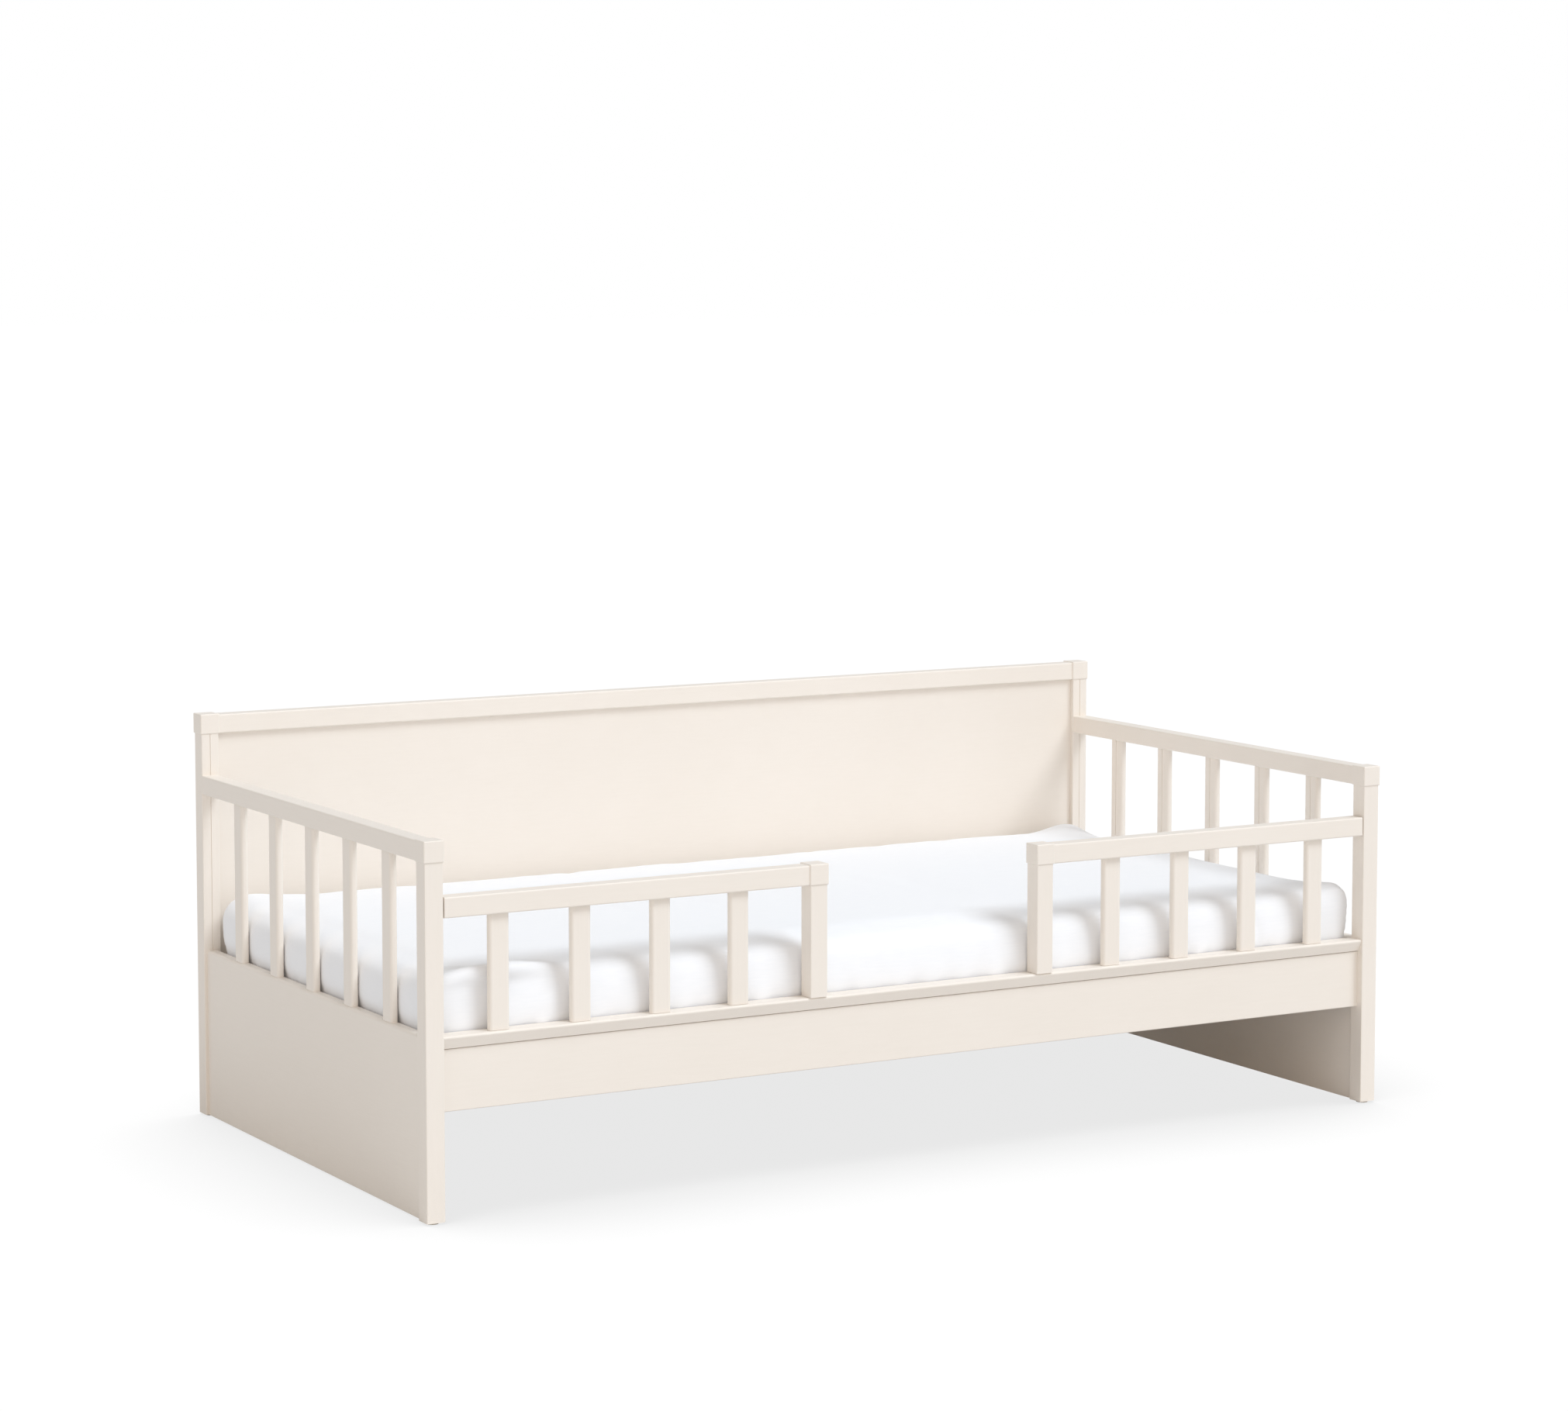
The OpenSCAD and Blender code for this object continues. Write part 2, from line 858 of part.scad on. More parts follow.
rear_left_post();
rear_right_post();
front_left_post();
front_right_post();
rear_left_cap();
rear_right_cap();
front_left_cap();
front_right_cap();
back_top_rail();
back_panel();
back_bottom_rail();
left_arm_rail();
right_arm_rail();
left_end_panel();
right_end_panel();
left_end_slat_1();
left_end_slat_2();
left_end_slat_3();
left_end_slat_4();
left_end_slat_5();
right_end_slat_1();
right_end_slat_2();
right_end_slat_3();
right_end_slat_4();
right_end_slat_5();
front_ledge();
front_apron();
front_cleat();
rear_cleat();
base_slats();
corner_brackets();
bracket_screws();
cleat_screws();
base_slat_screws();
rail_dowels();
board_dowels();
panel_dowels();
post_glides();
mattress_core();
fitted_sheet();
left_guard_rail();
left_guard_post();
left_guard_cap();
left_guard_pins();
left_guard_dowel();
left_guard_slat_1();
left_guard_slat_2();
left_guard_slat_3();
left_guard_slat_4();
right_guard_rail();
right_guard_post();
right_guard_cap();
right_guard_pins();
right_guard_dowel();
right_guard_slat_1();
right_guard_slat_2();
right_guard_slat_3();
right_guard_slat_4();
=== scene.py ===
"""Looks of the toddler bed: paint, bare wood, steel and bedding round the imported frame.

Metres, in the frame's own axes: +X along the bed, -Y the front, +Z up.
"""

import json
import math

import bpy
import numpy as np
from mathutils import Euler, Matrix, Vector, noise
from mathutils.bvhtree import BVHTree


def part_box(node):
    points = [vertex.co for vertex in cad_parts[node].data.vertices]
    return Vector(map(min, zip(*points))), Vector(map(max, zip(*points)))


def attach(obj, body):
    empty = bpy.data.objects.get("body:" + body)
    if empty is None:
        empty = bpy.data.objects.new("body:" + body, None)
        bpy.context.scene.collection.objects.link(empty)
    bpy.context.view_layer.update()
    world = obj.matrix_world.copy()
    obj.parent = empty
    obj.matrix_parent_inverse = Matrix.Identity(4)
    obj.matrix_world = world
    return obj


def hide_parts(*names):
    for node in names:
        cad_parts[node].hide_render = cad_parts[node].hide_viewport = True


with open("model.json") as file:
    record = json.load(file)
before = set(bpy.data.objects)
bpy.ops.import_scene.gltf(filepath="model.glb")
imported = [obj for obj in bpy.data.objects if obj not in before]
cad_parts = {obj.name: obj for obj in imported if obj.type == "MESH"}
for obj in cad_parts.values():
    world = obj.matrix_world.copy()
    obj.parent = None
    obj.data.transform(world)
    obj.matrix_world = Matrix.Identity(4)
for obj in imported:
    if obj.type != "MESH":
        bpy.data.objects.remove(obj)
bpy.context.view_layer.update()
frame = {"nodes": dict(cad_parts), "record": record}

NODES = frame["nodes"]
SLOT_OF = {s["node"]: s["material_slot"] for s in frame["record"]["subparts"]}

# ---------------------------------------------------------------- materials


class Shader:
    """A material whose nodes are added one call at a time."""

    def __init__(self, name):
        self.material = bpy.data.materials.new(name)
        self.material.use_nodes = True
        self.tree = self.material.node_tree
        self.surface = self.tree.nodes["Principled BSDF"]
        self.place = self.node("ShaderNodeTexCoord").outputs["Object"]

    def node(self, kind, **settings):
        made = self.tree.nodes.new(kind)
        for key, value in settings.items():
            setattr(made, key, value)
        return made

    def feed(self, socket, value):
        if isinstance(value, bpy.types.NodeSocket):
            self.tree.links.new(value, socket)
        else:
            socket.default_value = value

    def stretched(self, scale, turn=(0, 0, 0)):
        """The object's own coordinates, scaled along each axis."""
        mapping = self.node("ShaderNodeMapping")
        self.feed(mapping.inputs["Vector"], self.place)
        mapping.inputs["Scale"].default_value = scale
        mapping.inputs["Rotation"].default_value = turn
        return mapping.outputs["Vector"]

    def noise(self, vector, scale, detail=3.0, rough=0.5, distortion=0.0):
        made = self.node("ShaderNodeTexNoise")
        self.feed(made.inputs["Vector"], vector)
        made.inputs["Scale"].default_value = scale
        made.inputs["Detail"].default_value = detail
        made.inputs["Roughness"].default_value = rough
        made.inputs["Distortion"].default_value = distortion
        return made.outputs["Fac"]

    def wave(self, vector, scale, axis, distortion=0.0, detail=1.0):
        made = self.node("ShaderNodeTexWave", wave_type="BANDS", bands_direction=axis)
        self.feed(made.inputs["Vector"], vector)
        made.inputs["Scale"].default_value = scale
        made.inputs["Distortion"].default_value = distortion
        made.inputs["Detail"].default_value = detail
        return made.outputs["Fac"]

    def ramp(self, value, stops):
        """stops are (position, colour or grey level)."""
        made = self.node("ShaderNodeValToRGB")
        self.feed(made.inputs["Fac"], value)
        points = made.color_ramp.elements
        while len(points) < len(stops):
            points.new(0.5)
        for point, (at, colour) in zip(points, stops):
            point.position = at
            grey = isinstance(colour, (int, float))
            point.color = (colour, colour, colour, 1) if grey else (*colour, 1)
        return made.outputs["Color"]

    def math(self, how, a, b):
        made = self.node("ShaderNodeMath", operation=how)
        self.feed(made.inputs[0], a)
        self.feed(made.inputs[1], b)
        return made.outputs["Value"]

    def mix(self, share, a, b):
        made = self.node("ShaderNodeMix", data_type="RGBA")
        self.feed(made.inputs["Factor"], share)
        self.feed(made.inputs["A"], a)
        self.feed(made.inputs["B"], b)
        return made.outputs["Result"]

    def bump(self, *layers):
        """layers are (height, strength, distance in metres), one on top of another."""
        normal = None
        for height, strength, distance in layers:
            made = self.node("ShaderNodeBump")
            self.feed(made.inputs["Height"], height)
            made.inputs["Strength"].default_value = strength
            made.inputs["Distance"].default_value = distance
            if normal is not None:
                self.feed(made.inputs["Normal"], normal)
            normal = made.outputs["Normal"]
        self.feed(self.surface.inputs["Normal"], normal)

    def set(self, **values):
        for key, value in values.items():
            self.feed(self.surface.inputs[key.replace("_", " ")], value)


GRAIN = {"x": (1.0, 14.0, 14.0), "y": (14.0, 1.0, 14.0), "z": (14.0, 14.0, 1.0)}


def paint(name, along):
    """Satin cream paint over wood: faint mottling, brush and grain lines, and a fine orange peel."""
    s = Shader(name)
    mottle = s.noise(s.place, 7.0, detail=4.0)
    grain = s.noise(s.stretched(GRAIN[along]), 26.0, detail=5.0, rough=0.6)
    peel = s.noise(s.place, 620.0, detail=2.0)
    tint = s.ramp(mottle, [(0.30, (0.876, 0.811, 0.733)), (0.70, (0.894, 0.830, 0.755))])
    line = s.ramp(grain, [(0.40, (0.868, 0.803, 0.725)), (0.58, (0.894, 0.830, 0.755))])
    s.set(Base_Color=s.mix(0.25, tint, line))
    s.set(Roughness=s.ramp(mottle, [(0.3, 0.40), (0.7, 0.50)]))
    s.surface.inputs["Specular IOR Level"].default_value = 0.42
    s.bump((grain, 0.06, 0.0005), (peel, 0.05, 0.0003))
    return s.material


def bare_wood(name, along):
    """Sanded beech: long grain, short dark rays and a soft tone change from board to board."""
    s = Shader(name)
    board = s.noise(s.place, 5.0, detail=1.0)
    grain = s.noise(s.stretched(GRAIN[along]), 16.0, detail=8.0, rough=0.62, distortion=0.6)
    rays = s.noise(s.stretched(tuple(v * 3 for v in GRAIN[along])), 24.0, detail=2.0)
    light, dark = (0.640, 0.445, 0.262), (0.470, 0.296, 0.158)
    base = s.ramp(grain, [(0.36, dark), (0.62, light)])
    fleck = s.ramp(rays, [(0.30, (0.36, 0.21, 0.11)), (0.40, (0.62, 0.43, 0.25))])
    toned = s.mix(s.ramp(board, [(0.35, 0.0), (0.65, 0.35)]), base, (0.72, 0.54, 0.35, 1))
    s.set(Base_Color=s.mix(0.18, toned, fleck))
    s.set(Roughness=s.ramp(grain, [(0.3, 0.66), (0.7, 0.54)]))
    s.bump((grain, 0.25, 0.0006), (rays, 0.12, 0.0003))
    return s.material


def steel(name):
    """Zinc-plated steel with fine scratches."""
    s = Shader(name)
    cloud = s.noise(s.place, 60.0, detail=4.0)
    brushed = s.noise(s.stretched((30.0, 30.0, 400.0)), 8.0, detail=3.0)
    s.set(Base_Color=s.ramp(cloud, [(0.35, (0.50, 0.51, 0.53)), (0.65, (0.66, 0.67, 0.69))]))
    s.set(Roughness=s.ramp(brushed, [(0.3, 0.28), (0.7, 0.44)]))
    s.surface.inputs["Metallic"].default_value = 1.0
    s.bump((brushed, 0.15, 0.0002))
    return s.material


def plastic(name):
    """Pale moulded plastic with a spark-eroded face."""
    s = Shader(name)
    fine = s.noise(s.place, 1500.0, detail=2.0)
    cloud = s.noise(s.place, 90.0, detail=2.0)
    s.set(Base_Color=s.ramp(cloud, [(0.3, (0.70, 0.64, 0.54)), (0.7, (0.78, 0.72, 0.62))]))
    s.set(Roughness=s.ramp(fine, [(0.3, 0.46), (0.7, 0.60)]))
    s.bump((fine, 0.3, 0.0002))
    return s.material


def woven(name, light, shade, pitch, sheen):
    """Plain-weave cloth: warp and weft threads at that pitch in metres, slubs and soft creases."""
    s = Shader(name)
    turns = 2 * math.pi / (20 * pitch)
    across = s.wave(s.place, turns, "X", distortion=0.6)
    along = s.wave(s.place, turns, "Y", distortion=0.6)
    upright = s.wave(s.place, turns, "Z", distortion=0.6)
    weave = s.math("MULTIPLY", s.math("ADD", s.math("ADD", across, along), upright), 1 / 3)
    slub = s.noise(s.stretched((1.0, 9.0, 9.0)), 45.0, detail=4.0)
    crease = s.noise(s.place, 9.0, detail=3.0, distortion=0.5)
    tone = s.ramp(slub, [(0.35, shade), (0.65, light)])
    s.set(Base_Color=s.mix(s.math("MULTIPLY", weave, 0.25), tone, (*light, 1)))
    s.set(Roughness=s.ramp(crease, [(0.3, 0.82), (0.7, 0.94)]))
    s.surface.inputs["Sheen Weight"].default_value = sheen
    s.surface.inputs["Sheen Roughness"].default_value = 0.6
    s.surface.inputs["Specular IOR Level"].default_value = 0.2
    s.bump((crease, 0.25, 0.004), (slub, 0.10, 0.0004), (weave, 0.25, 0.00015))
    return s.material


PAINT = {axis: paint(f"cream_paint_{axis}", axis) for axis in "xyz"}
WOOD = {axis: bare_wood(f"bare_wood_{axis}", axis) for axis in "xyz"}
STEEL = steel("steel")
PLASTIC = plastic("glide_plastic")
SHEET = woven("sheet_fabric", (0.942, 0.950, 0.968), (0.920, 0.931, 0.953), 0.0008, 0.10)
TICKING = woven("mattress_ticking", (0.86, 0.85, 0.81), (0.78, 0.77, 0.73), 0.0014, 0.10)


def long_axis(node):
    low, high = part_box(node)
    return "xyz"[max(range(3), key=lambda k: high[k] - low[k])]


def look_of(node):
    slot = SLOT_OF[node]
    if slot == "cream_paint":
        return PAINT[long_axis(node)]
    if slot == "bare_wood":
        return WOOD["y" if node == "base_slats" else "x"]
    return {
        "steel": STEEL,
        "glide_plastic": PLASTIC,
        "sheet_fabric": SHEET,
        "mattress_ticking": TICKING,
    }[slot]


for name, obj in NODES.items():
    obj.data.materials.clear()
    obj.data.materials.append(look_of(name))

# ---------------------------------------------------------------- room for the bedding

CORE_LOW, CORE_HIGH = (np.array(corner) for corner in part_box("mattress_core"))
SHEET_LOW, SHEET_HIGH = (np.array(corner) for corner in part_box("fitted_sheet"))
# the sheet's return underneath, and the block's edge radii
RETURN = 0.070
TOP_R, FOOT_R, PLAN_R = 0.030, 0.018, 0.032
# the bedding stands this far proud of its CAD solids
PROUD = np.array((0.0042, 0.0025, 0.0))
FOAM_LOW, FOAM_HIGH = CORE_LOW - PROUD, CORE_HIGH + PROUD
SKIN_LOW, SKIN_HIGH = SHEET_LOW - PROUD, SHEET_HIGH + PROUD
(x0, y0, z0), (x1, y1, z1) = SKIN_LOW, SKIN_HIGH
# its gap to the end slats, how far it bulges between them, and the room left for the sheet over the foam
SLAT_CLEAR, BETWEEN_SLATS, COVER = 0.0006, 0.0020, 0.0013
PANEL_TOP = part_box("left_end_panel")[1][2]
slat_low, slat_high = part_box("right_end_slat_1")
SLAT_FACE, SLAT_HALF = slat_low[0], (slat_high[1] - slat_low[1]) / 2
SLAT_MIDDLES = [sum(corner[1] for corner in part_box(f"left_end_slat_{i}")) / 2 for i in range(1, 6)]


def rise(value, low, high):
    """A smooth step from 0 at low to 1 at high."""
    t = np.clip((value - low) / (high - low), 0, 1)
    return t * t * (3 - 2 * t)


def bell(distance, width):
    """1 at no distance, fading to 0 beyond about twice the width."""
    return np.exp(-((distance / width) ** 2))


def end_room(co):
    """How far out the bedding may reach at an end: to the panel, and above it to the slats.

    Between two slats it may reach a little further.
    """
    off_slat = np.min([np.abs(co[:, 1] - y) for y in SLAT_MIDDLES], axis=0)
    between = rise(off_slat, SLAT_HALF + 0.004, SLAT_HALF + 0.030)
    above = rise(co[:, 2], PANEL_TOP + 0.004, PANEL_TOP + 0.014)
    return SKIN_HIGH[0] + above * (SLAT_FACE - SLAT_CLEAR - SKIN_HIGH[0] + BETWEEN_SLATS * between)


# ---------------------------------------------------------------- meshes


def spread(low, high, fine, coarse, band):
    """Grid lines from low to high: fine within band of each end, coarse between."""
    inner_low, inner_high = low + band, high - band
    ends = max(1, round(band / fine))
    middle = max(1, round((inner_high - inner_low) / coarse))
    return np.concatenate(
        [
            np.linspace(low, inner_low, ends, endpoint=False),
            np.linspace(inner_low, inner_high, middle, endpoint=False),
            np.linspace(inner_high, high, ends + 1),
        ]
    )


def box_net(lines, keep=None):
    """The skin of a box as quads on those grid lines. keep(face centre) drops some faces."""
    index, points, faces = {}, [], []
    top = [len(line) - 1 for line in lines]

    def vertex(key):
        if key not in index:
            index[key] = len(points)
            points.append([lines[a][key[a]] for a in range(3)])
        return index[key]

    for axis in range(3):
        a, b = [k for k in range(3) if k != axis]
        for side in (0, top[axis]):
            for i in range(top[a]):
                for j in range(top[b]):
                    centre = [0, 0, 0]
                    centre[axis] = lines[axis][side]
                    centre[a] = (lines[a][i] + lines[a][i + 1]) / 2
                    centre[b] = (lines[b][j] + lines[b][j + 1]) / 2
                    if keep is not None and not keep(centre):
                        continue
                    quad = []
                    for di, dj in ((0, 0), (1, 0), (1, 1), (0, 1)):
                        key = [0, 0, 0]
                        key[axis], key[a], key[b] = side, i + di, j + dj
                        quad.append(vertex(tuple(key)))
                    outward = (side > 0) == (axis != 1)
                    faces.append(quad if outward else quad[::-1])
    return np.array(points), faces


def rounded(co, low, high, plan_r, top_r, foot_r):
    """Turns a box's skin into a block with round plan corners and round top and bottom edges."""
    mid, half = (low + high) / 2, (high - low) / 2
    flat = co[:, :2] - mid[:2]
    sign = np.where(flat < 0, -1.0, 1.0)
    away = np.abs(flat)
    inner = half[:2] - plan_r
    over = np.maximum(away - inner, 0)
    corner = (over > 0).all(axis=1)
    reach = over.max(axis=1)
    length = np.maximum(np.linalg.norm(over, axis=1), 1e-9)
    facing = np.where(corner[:, None], over / length[:, None], 0.0)
    gap = half[:2] - away
    nearest_x = gap[:, 0] <= gap[:, 1]
    facing[~corner & nearest_x] = (1, 0)
    facing[~corner & ~nearest_x] = (0, 1)
    depth = np.where(corner, plan_r - reach, gap.min(axis=1))
    place = np.where(corner[:, None], inner + facing * reach[:, None], away)
    out = co.copy()
    for edge, radius, up in ((high[2], top_r, 1), (low[2], foot_r, -1)):
        sideways = radius - depth
        upward = up * (co[:, 2] - edge) + radius
        band = (sideways > 0) & (upward > 0)
        longest = np.maximum(sideways, upward)
        scale = longest / np.maximum(np.hypot(sideways, upward), 1e-9)
        new_depth = radius - sideways * scale
        place = np.where(band[:, None], place + facing * (depth - new_depth)[:, None], place)
        out[:, 2] = np.where(band, edge + up * (upward * scale - radius), out[:, 2])
    out[:, :2] = mid[:2] + place * sign
    return out


def make_object(name, co, faces, material):
    mesh = bpy.data.meshes.new(name)
    mesh.from_pydata([tuple(p) for p in co], [], faces)
    mesh.materials.append(material)
    mesh.polygons.foreach_set("use_smooth", [True] * len(mesh.polygons))
    mesh.update()
    made = bpy.data.objects.new(name, mesh)
    bpy.context.scene.collection.objects.link(made)
    return made


def points_of(obj):
    co = np.zeros(len(obj.data.vertices) * 3)
    obj.data.vertices.foreach_get("co", co)
    return co.reshape(-1, 3)


def move_points(obj, co):
    obj.data.vertices.foreach_set("co", co.ravel())
    obj.data.update()


def facing_of(obj):
    normals = np.zeros(len(obj.data.vertices) * 3)
    obj.data.vertices.foreach_get("normal", normals)
    return normals.reshape(-1, 3)


def apply_modifiers(obj):
    graph = bpy.context.evaluated_depsgraph_get()
    final = bpy.data.meshes.new_from_object(obj.evaluated_get(graph))
    obj.modifiers.clear()
    obj.data = final


# ---------------------------------------------------------------- mattress

# the foam starts a little smaller, because it swells
INSET = np.array((0.0028, 0.0035, 0.0010))
START_LOW, START_HIGH = FOAM_LOW + INSET, FOAM_HIGH - INSET * (1, 1, 3)
FOAM_GRID = 0.012
FOAM_SWELL = 0.007
CLOTH_FRAMES = 20


def inflate(obj, limit, hold):
    """A cloth pass with air inside and no gravity.

    hold is how firmly the foam keeps each point, from 0 to 1, and no point moves further than limit.
    """
    before = points_of(obj)
    group = obj.vertex_groups.new(name="foam")
    for i, weight in enumerate(hold):
        group.add([i], float(weight), "REPLACE")
    cloth = obj.modifiers.new("cloth", "CLOTH")
    settings = cloth.settings
    settings.vertex_group_mass = "foam"
    settings.pin_stiffness = 1.0
    settings.quality = 6
    settings.mass = 0.3
    settings.tension_stiffness = 12
    settings.compression_stiffness = 12
    settings.shear_stiffness = 4
    settings.bending_stiffness = 0.6
    settings.use_pressure = True
    settings.uniform_pressure_force = 4.0
    settings.effector_weights.gravity = 0
    settings.shrink_min = -0.006
    cloth.point_cache.frame_start = 1
    cloth.point_cache.frame_end = CLOTH_FRAMES
    for frame_number in range(1, CLOTH_FRAMES + 1):
        bpy.context.scene.frame_set(frame_number)
    apply_modifiers(obj)
    bpy.context.scene.frame_set(1)
    step = points_of(obj) - before
    length = np.linalg.norm(step, axis=1, keepdims=True)
    move_points(obj, before + step * np.minimum(1, limit / np.maximum(length, 1e-9)))


def foam_hold(co):
    """The foam holds the cover firmly at its edges and less in the middle of each face."""
    depth = np.sort(np.minimum(co - START_LOW, START_HIGH - co), axis=1)[:, 1]
    return 0.55 - 0.40 * rise(depth, 0.010, 0.055)


def foam_block():
    """The mattress's foam in its ticking, swollen by the cloth pass."""
    lines = []
    for low, high in zip(START_LOW, START_HIGH):
        lines.append(np.linspace(low, high, round((high - low) / FOAM_GRID) + 1))
    co, faces = box_net(lines)
    co = rounded(co, START_LOW, START_HIGH, PLAN_R - 0.003, TOP_R - 0.003, FOOT_R - 0.004)
    made = make_object("mattress", co, faces, TICKING)
    inflate(made, FOAM_SWELL, foam_hold(points_of(made)))
    softer = made.modifiers.new("soft", "SUBSURF")
    softer.levels = softer.render_levels = 1
    apply_modifiers(made)
    return made


# at each corner: its sides, how far the top rises there, how far it spreads, and how far its very tip rises
CORNERS = (
    (1, 1, 0.012, 0.004, 0),
    (-1, 1, 0.008, 0.004, 0),
    (1, -1, 0.0045, 0.005, 0.010),
    (-1, -1, 0.003, 0.003, 0),
)
CORNER_SQUARE = 0.0045
CROWN = 0.003
# the rim stands up beside the left front corner: the peak's place from the corner, and its height
RIM_IN, RIM_BACK, RIM_LIFT = 0.072, 0.013, 0.0115
END_SWELL = 0.0050
QUILT_STEP, QUILT_DEPTH, QUILT_WIDE = 0.085, 0.0022, 0.007


def shape_corners(out, co, half, top, upper):
    """Raises each corner and its tip as CORNERS says, and squares it."""

    def near_corner(x, y, inset_x, inset_y, width):
        away = np.hypot(co[:, 0] - x * (half[0] - inset_x), co[:, 1] - y * (half[1] - inset_y))
        return bell(away, width)

    for x, y, lift, push, tip in CORNERS:
        near = top * near_corner(x, y, 0.040, 0.026, 0.045)
        at_tip = top * near_corner(x, y, 0.008, 0.018, 0.022)
        square = CORNER_SQUARE * near_corner(x, y, 0, 0, 0.026) * upper
        out[:, 2] += lift * near + tip * at_tip
        out[:, 0] += x * (push * near + square)
        out[:, 1] += y * (push * near + square)


def raise_rim(out, co, top):
    """Lifts the front rim near the left corner, steeper on the corner's side of the peak."""
    from_peak = co[:, 0] - (FOAM_LOW[0] + RIM_IN)
    from_rim = co[:, 1] - (FOAM_LOW[1] + RIM_BACK)
    rim = bell(from_peak, np.where(from_peak < 0, 0.042, 0.066))
    out[:, 2] += RIM_LIFT * top * rim * bell(from_rim, 0.014)


def roughen_top(out, co, top):
    """Slow unevenness of the top, with a little that is quicker."""
    for i, p in enumerate(co):
        slow = noise.noise(Vector((p[0] * 3.1, p[1] * 3.1, p[2] * 5)))
        quick = noise.noise(Vector((p[0] * 11, p[1] * 11, p[2] * 14)))
        out[i, 2] += top[i] * (0.0016 * slow + 0.0006 * quick)


def swell_ends(out):
    """The ends swell over the panels and press on the slats."""
    near_end = rise(np.abs(out[:, 0]), FOAM_HIGH[0] - 0.022, FOAM_HIGH[0] - 0.004)
    over_panel = rise(out[:, 2], PANEL_TOP, PANEL_TOP + 0.018)
    below_edge = 1 - rise(out[:, 2], FOAM_HIGH[2] - 0.024, FOAM_HIGH[2] + 0.002)
    swell = END_SWELL * near_end * over_panel * below_edge
    room = end_room(out) - COVER
    out[:, 0] = np.clip(out[:, 0] + np.sign(out[:, 0]) * swell, -room, room)


def quilt_underside(out):
    """Shallow stitched lines that cross in diamonds."""
    beneath = 1 - rise(out[:, 2], FOAM_LOW[2] + 0.002, FOAM_LOW[2] + 0.008)
    for run in (out[:, 0] + out[:, 1], out[:, 0] - out[:, 1]):
        from_middle = np.abs((run / QUILT_STEP) % 1 - 0.5) * QUILT_STEP
        out[:, 2] += beneath * QUILT_DEPTH * bell(QUILT_STEP / 2 - from_middle, QUILT_WIDE)


def settled(co):
    """The foam on its slats and between its neighbours, with a crowned top and square corners."""
    half = (FOAM_HIGH - FOAM_LOW) / 2
    u = (co - (FOAM_LOW + FOAM_HIGH) / 2) / half
    top = rise(u[:, 2], 0.1, 1.0)
    out = co.copy()
    out[:, 2] += CROWN * top * (1 - np.abs(u[:, 0]) ** 6) * (1 - np.abs(u[:, 1]) ** 4)
    shape_corners(out, co, half, top, rise(u[:, 2], -0.8, -0.2))
    raise_rim(out, co, top)
    roughen_top(out, co, top)
    swell_ends(out)
    out[:, 1] = np.clip(out[:, 1], FOAM_LOW[1], FOAM_HIGH[1])
    quilt_underside(out)
    out[:, 2] = np.maximum(out[:, 2], FOAM_LOW[2])
    return out


mattress = foam_block()
move_points(mattress, settled(points_of(mattress)))

# ---------------------------------------------------------------- sheet

# how far the sheet lies off the foam, its thickness, and the deepest groove in it
CLOTH, THREAD, GROOVE = 0.0009, 0.0006, 0.0018
SMOOTHINGS = 3


def covered(centre):
    """Whether the sheet covers that place: it leaves the middle of the underside open."""
    beneath = centre[2] <= z0 + 1e-6
    x_in = x1 - abs(centre[0]) > RETURN
    y_in = y1 - abs(centre[1]) > RETURN
    return not (beneath and x_in and y_in)


def hug(co, shape):
    """Draws the sheet in until it lies on that shape."""
    out = co.copy()
    for i, p in enumerate(co):
        near, normal, _, _ = shape.find_nearest(Vector(p))
        if near is not None:
            out[i] = near + normal * CLOTH
    return out


def smoothed(co, edges, times):
    """Each point drawn halfway to the mean of its neighbours, that many times."""
    neighbours = [[] for _ in co]
    for edge in edges:
        a, b = edge.vertices
        neighbours[a].append(b)
        neighbours[b].append(a)
    for _ in range(times):
        co = np.array([(co[i] + co[n].mean(axis=0)) / 2 for i, n in enumerate(neighbours)])
    return co


# a skin cut like a box lid, open underneath inside its gathered hem
co, faces = box_net(
    [
        spread(x0, x1, 0.0045, 0.0055, 0.09),
        spread(y0, y1, 0.0045, 0.009, 0.10),
        spread(z0, z1, 0.0045, 0.0050, 0.03),
    ],
    covered,
)
co = rounded(co, SKIN_LOW, SKIN_HIGH, PLAN_R, TOP_R, FOOT_R)
sheet = make_object("fitted_sheet_cloth", co, faces, SHEET)
foam_shape = BVHTree.FromObject(mattress, bpy.context.evaluated_depsgraph_get())
# the smoothing takes out the foam's own facets
base = smoothed(hug(points_of(sheet), foam_shape), sheet.data.edges, SMOOTHINGS)
move_points(sheet, base)
outward = facing_of(sheet)


def along(path):
    """Each of the sheet's points: its distance from a path, how far along from 0 to 1, and its offset."""
    path = np.array(path, float)
    best = np.full(len(base), 9.0)
    share = np.zeros(len(base))
    offset = np.zeros((len(base), 3))
    lengths = np.linalg.norm(np.diff(path, axis=0), axis=1)
    total, done = lengths.sum(), 0.0
    for a, b, length in zip(path[:-1], path[1:], lengths):
        t = np.clip(((base - a) @ (b - a)) / length**2, 0, 1)
        foot = a + t[:, None] * (b - a)
        gap = np.linalg.norm(base - foot, axis=1)
        closer = gap < best
        best = np.where(closer, gap, best)
        share = np.where(closer, (done + t * length) / total, share)
        offset = np.where(closer[:, None], base - foot, offset)
        done += length
    return best, share, offset


def crease(path, width, height, lean, groove=0.5):
    """A fold's height over the whole sheet: a ridge along path, and a groove on the side lean points to."""
    gap, share, offset = along(path)
    fade = np.clip(np.sin(np.pi * np.clip(share, 0.02, 0.98)), 0, 1) ** 0.7
    side = offset @ np.array(lean, float)
    trough = bell(side - 1.5 * width, width) * bell(gap, 3 * width)
    return height * fade * (bell(gap, width) - groove * trough)


